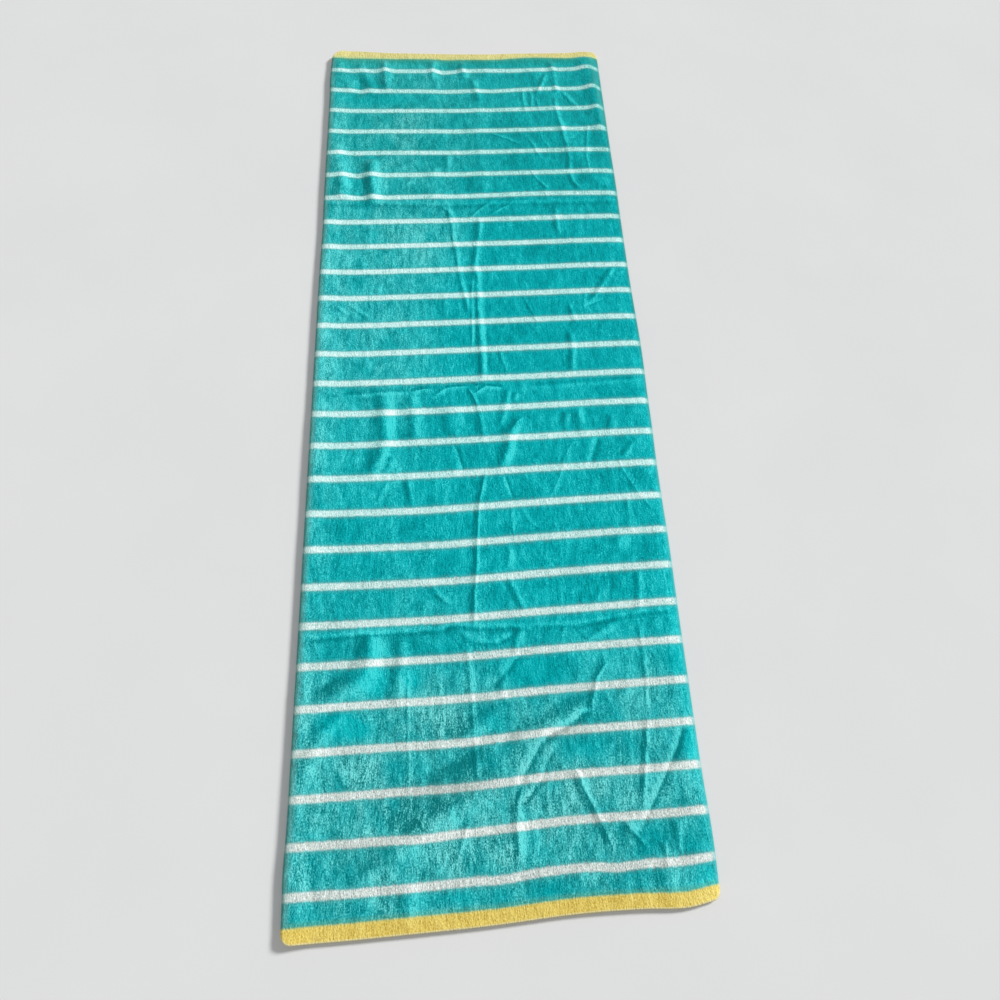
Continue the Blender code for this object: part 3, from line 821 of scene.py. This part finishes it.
def velour():
    n = Nodes("velour_terry")
    uv = n.new("ShaderNodeUVMap", uv_map="pattern").outputs[0]
    split = n.new("ShaderNodeSeparateXYZ", {0: uv})
    across, along = split.outputs[0], split.outputs[1]

    def value(name):
        return n.new("ShaderNodeAttribute", attribute_name=name).outputs["Fac"]

    crease_shade_in, hem, light, grey = (value(k) for k in ("crease_shade_tone", "hem_edge", "pile_light_and_highlight", "pile_grey"))

    # textures of the pile, from large to small
    brushed = n.warp(uv, 14, 0.018)
    crush = n.noise(uv, 17, 3, 0.60, 0.7, (1, 0.7, 1))
    patch = n.noise(brushed, 34, 2, 0.50, 0.0, (1, 0.5, 1))
    blotch = n.noise(brushed, 72, 2, 0.50, 0.0, (1, 0.42, 1))
    streak = n.noise(brushed, 130, 2, 0.55, 0.0, (1, 0.18, 1))
    mottle = n.noise(brushed, 120, 2, 0.60, 0.0, (1, 0.42, 1))
    bristle = n.noise(brushed, 360, 2, 0.62, 0.0, (1, 0.28, 1))
    grain = n.noise(uv, 600, 1, 0.50, 0.0, (1, 0.6, 1))

    def swing(texture, amount):
        return n.math("MULTIPLY", n.math("SUBTRACT", texture, 0.5), amount)

    # sharp creases: painted light on the flank towards the light and painted shade on the other, and on the crest a
    # painted highlight where the row's line is positive, painted shade where it is negative
    lean, crest = 0.0, 0.0
    for k in range(LAYERS):
        layer = n.new("ShaderNodeAttribute", attribute_name=f"sharp_{k}").outputs["Vector"]
        part = n.new("ShaderNodeSeparateXYZ", {0: layer})
        v = n.math("ADD", part.outputs[0], swing(mottle, 0.9))
        square = n.math("MULTIPLY", v, v)
        flank = n.math("MULTIPLY", v, n.math("EXPONENT", n.math("MULTIPLY_ADD", square, -0.5, 0.5)))
        lean = n.math("MULTIPLY_ADD", flank, part.outputs[1], lean)
        top = n.math("EXPONENT", n.math("MULTIPLY", square, -3.3))
        crest = n.math("MULTIPLY_ADD", top, part.outputs[2], crest)
    # all the painted crease shade together, from the mesh and from the sharp layers
    crease_shade_mix = n.math("MULTIPLY", n.math("ADD", n.math("ADD", lean, crest), crease_shade_in), CREASE_SHADE_STRENGTH)

    # where the pile is crushed the texture shows more
    restless = n.math("ADD", 0.68, n.math("MULTIPLY", grey, 0.46))
    patchy = n.math("MULTIPLY", restless, n.math("ADD", 1.0, swing(patch, 1.3)))
    fine = n.math("MULTIPLY", n.math("ADD", swing(bristle, 1.6), swing(grain, 2.1)), patchy)
    coarse = n.math("ADD", n.math("ADD", swing(crush, 1.0), swing(blotch, 1.1)), swing(streak, 1.0))
    coarse = n.math("MULTIPLY", coarse, restless)
    # the pile's own texture, plus the painted crease shade
    tone = n.math("ADD", n.math("ADD", fine, coarse), crease_shade_mix)
    # patch lightness, with the painted highlights
    tone = n.math("ADD", tone, n.math("ADD", 0.48, n.math("MULTIPLY", light, 0.8)))
    tone = n.math("SMOOTH_MAX", tone, 0.0, 0.45, clamp=True)

    fresh = n.colours(tone, ((0.00, (0.000, 0.205, 0.218)), (0.25, (0.000, 0.305, 0.325)),
                             (0.50, (0.001, 0.405, 0.432)), (0.75, (0.010, 0.520, 0.545)),
                             (1.00, (0.045, 0.690, 0.700))))
    worn = n.colours(tone, ((0.00, (0.003, 0.165, 0.170)), (0.25, (0.016, 0.275, 0.278)),
                            (0.50, (0.056, 0.408, 0.408)), (0.75, (0.105, 0.550, 0.545)),
                            (1.00, (0.190, 0.770, 0.755))))
    dull = n.math("ADD", n.math("ADD", 0.56, swing(crush, 1.6)), swing(patch, 0.9))
    dull = n.math("MULTIPLY", dull, n.math("MULTIPLY", grey, 1.8), clamp=True)
    teal = n.mix(dull, fresh, worn)
    teal = n.mix(n.ramp(along, 0.15, 0.75, 0.0, 0.15), teal, (0.012, 0.340, 0.270, 1))
    teal = n.mix(n.ramp(along, 0.828, 0.868, 0.0, 0.40), teal, (0.030, 0.300, 0.170, 1))

    # stripes, their pile mixed a little with the ground's at the ragged border, and a darker grey-teal band beside each
    t = n.math("DIVIDE", along, PITCH / 1000)
    from_middle = n.math("MULTIPLY", n.math("ABSOLUTE", n.math("SUBTRACT", t, n.math("ROUND", t))), PITCH)
    ragged = n.math("ADD", swing(bristle, 5.0), swing(mottle, 2.4))
    edge = n.math("ADD", from_middle, ragged)
    stripe = n.ramp(edge, STRIPE / 2 - 2.2, STRIPE / 2 + 2.2, 1.0, 0.0)
    beside = n.ramp(edge, STRIPE / 2 + 1.0, STRIPE / 2 + 7.0, 1.0, 0.0)
    teal = n.mix(n.math("MULTIPLY", beside, 0.30), teal, (0.120, 0.370, 0.350, 1))
    white_tone = n.math("ADD", n.math("ADD", swing(bristle, 1.3), swing(grain, 1.9)), swing(blotch, 0.7))
    # white stripes take the painted crease shade and the patches' lightness, painted highlights included
    white_tone = n.math("ADD", white_tone, n.math("MULTIPLY", n.math("ADD", crease_shade_mix, light), 0.75))
    white_tone = n.math("ADD", white_tone, 0.46, clamp=True)
    frost = n.colours(white_tone, ((0.0, (0.18, 0.52, 0.48)), (0.5, (0.47, 0.88, 0.83)), (1.0, (0.88, 1.00, 1.00))))
    cool = n.colours(white_tone, ((0.0, (0.28, 0.58, 0.55)), (0.5, (0.54, 0.87, 0.84)), (1.0, (0.86, 1.00, 0.98))))
    warm = n.colours(white_tone, ((0.0, (0.38, 0.44, 0.41)), (0.5, (0.63, 0.71, 0.67)), (1.0, (0.93, 0.98, 0.95))))
    white = n.mix(n.ramp(along, 0.25, 0.65), n.mix(n.ramp(along, -0.10, -0.78), cool, warm), frost)

    # end bands and their turned edge
    band_at = n.math("ADD", n.math("MULTIPLY", n.math("ABSOLUTE", along), 1000), n.math("MULTIPLY", ragged, 0.55))
    band_at = n.math("SUBTRACT", band_at, n.ramp(along, -0.2, 0.2, 1.1, 1.8))
    band = n.ramp(band_at, BAND_FROM - 1.9, BAND_FROM + 1.5)
    band_side = n.ramp(band_at, BAND_FROM - 9.5, BAND_FROM - 0.5)
    yellow_near = n.colours(white_tone, ((0.0, (0.58, 0.41, 0.075)), (0.5, (0.77, 0.59, 0.135)), (1.0, (0.90, 0.74, 0.22))))
    yellow_far = n.colours(white_tone, ((0.0, (0.58, 0.50, 0.17)), (0.5, (0.74, 0.67, 0.265)), (1.0, (0.89, 0.83, 0.41))))
    yellow_far = n.mix(n.ramp(band_at, BAND_FROM + 1.0, BAND_FROM + 7.0, 0.50, 0.0), yellow_far, (0.380, 0.660, 0.330, 1))
    yellow_near = n.mix(n.ramp(band_at, BAND_FROM, BAND_FROM + 3.5, 0.40, 0.0), yellow_near, (0.450, 0.600, 0.250, 1))
    yellow = n.mix(n.ramp(along, -0.2, 0.2), yellow_near, yellow_far)
    pale = n.ramp(n.math("ADD", hem, n.math("MULTIPLY", ragged, 0.25)), PALE_EDGE - 0.5, PALE_EDGE + 0.5, 1.0, 0.0)
    yellow = n.mix(pale, yellow, (0.76, 0.66, 0.32, 1))

    colour = n.mix(stripe, teal, white)
    colour = n.mix(n.math("MULTIPLY", band_side, 0.42), colour, (0.150, 0.380, 0.190, 1))

    # painted shade and grey sheen along both long sides: darker grey on the rolled fold, which turns from the light,
    # and grey along the free edge, darker towards the far end; and painted sheen where the pile is seen edge-on
    side = n.math("ADD", across, n.math("MULTIPLY", ragged, 0.0005))
    fold_side = n.math("MULTIPLY", n.ramp(side, -0.2835, -0.2975, 0.0, 0.78), n.ramp(side, -0.3140, -0.3050, 0.0, 1.0))
    free_side = n.ramp(side, 0.2935, 0.3000, 0.0, 0.62)
    colour = n.mix(fold_side, colour, n.mix(stripe, (0.105, 0.275, 0.245, 1), (0.300, 0.450, 0.415, 1)))
    colour = n.mix(free_side, colour, n.mix(n.ramp(along, -0.5, 0.2), (0.070, 0.410, 0.420, 1), (0.040, 0.225, 0.208, 1)))
    # painted sheen: greyer where the pile is seen edge-on
    edge_on = n.new("ShaderNodeLayerWeight", {"Blend": 0.5}).outputs["Facing"]
    edge_on_sheen = n.colours(edge_on, ((0.0, (0.05, 0.38, 0.36)), (0.45, (0.09, 0.36, 0.32)), (1.0, (0.22, 0.33, 0.29))))
    colour = n.mix(n.ramp(edge_on, 0.30, 0.95, 0.0, 0.75), colour, edge_on_sheen)
    colour = n.mix(band, colour, yellow)
    n.put(n.bsdf.inputs["Base Color"], colour)
    n.put(n.bsdf.inputs["Roughness"], n.ramp(mottle, 0.3, 0.7, 0.80, 0.95))
    n.bsdf.inputs["Specular IOR Level"].default_value = 0.03
    n.bsdf.inputs["Sheen Weight"].default_value = 0.05
    n.bsdf.inputs["Sheen Roughness"].default_value = 0.45
    n.bsdf.inputs["Sheen Tint"].default_value = (0.15, 0.90, 0.92, 1)

    height = n.math("ADD", n.math("MULTIPLY", grain, 0.5), n.math("MULTIPLY", bristle, 1.2))
    height = n.math("ADD", height, n.math("MULTIPLY", mottle, 0.8))
    bump = n.new("ShaderNodeBump", {"Strength": 0.7, "Distance": 0.0016, "Height": height})
    n.put(n.bsdf.inputs["Normal"], bump.outputs[0])
    return n.mat


def plain_floor():
    n = Nodes("floor_paper")
    place = n.new("ShaderNodeTexCoord").outputs["Object"]
    faint = n.noise(place, 3, 3, 0.6)
    n.put(n.bsdf.inputs["Base Color"], n.colours(faint, ((0.0, (0.72, 0.72, 0.72)), (1.0, (0.76, 0.76, 0.755)))))
    n.bsdf.inputs["Roughness"].default_value = 0.95
    n.bsdf.inputs["Specular IOR Level"].default_value = 0.1
    return n.mat


# ------------------------------------------------------------------ the scene
def floor():
    mesh = bpy.data.meshes.new("floor")
    s = 9.0
    mesh.from_pydata([(-s, -s, -0.0004), (s, -s, -0.0004), (s, s, -0.0004), (-s, s, -0.0004)], [], [(0, 1, 2, 3)])
    obj = bpy.data.objects.new("floor", mesh)
    obj.data.materials.append(plain_floor())
    bpy.context.scene.collection.objects.link(obj)
    return obj


def aim(obj, place, right, up, view):
    turn = Matrix((right, up, [-c for c in view])).transposed().to_4x4()
    obj.matrix_world = Matrix.Translation(place) @ turn


def camera():
    data = bpy.data.cameras.new("camera")
    data.sensor_width = 36.0
    data.sensor_fit = "HORIZONTAL"
    data.lens = 28.8
    data.shift_x = -0.04
    data.clip_start, data.clip_end = 0.01, 60
    obj = bpy.data.objects.new("camera", data)
    bpy.context.scene.collection.objects.link(obj)
    aim(obj, Vector((-0.0258, -0.8189, 1.2368)), (0.99567, -0.06926, 0.06199),
        (0.03659, 0.90515, 0.42352), (0.08544, 0.41942, -0.90376))
    bpy.context.scene.camera = obj


def sun(name, azimuth, elevation, strength, spread, colour=(1, 1, 1)):
    data = bpy.data.lights.new(name, "SUN")
    data.energy, data.angle, data.color = strength, math.radians(spread), colour
    obj = bpy.data.objects.new(name, data)
    bpy.context.scene.collection.objects.link(obj)
    az, el = math.radians(azimuth), math.radians(elevation)
    towards = Vector((math.cos(az) * math.cos(el), math.sin(az) * math.cos(el), math.sin(el)))
    obj.rotation_euler = towards.to_track_quat("Z", "Y").to_euler()
    obj.location = towards * 3
    return obj


def lights():
    sun("key", 28, 30, 3.55, 12)
    sun("fill", 200, 60, 0.35, 50)
    world = bpy.data.worlds.new("studio")
    world.use_nodes = True
    world.node_tree.nodes["Background"].inputs[0].default_value = (0.96, 0.98, 1.0, 1)
    world.node_tree.nodes["Background"].inputs[1].default_value = 0.34
    bpy.context.scene.world = world
    bpy.context.scene.view_settings.view_transform = "Standard"


towel = make_towel()
towel.data.materials.append(velour())
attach(towel, "root")
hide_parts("towel")
floor()
camera()
lights()
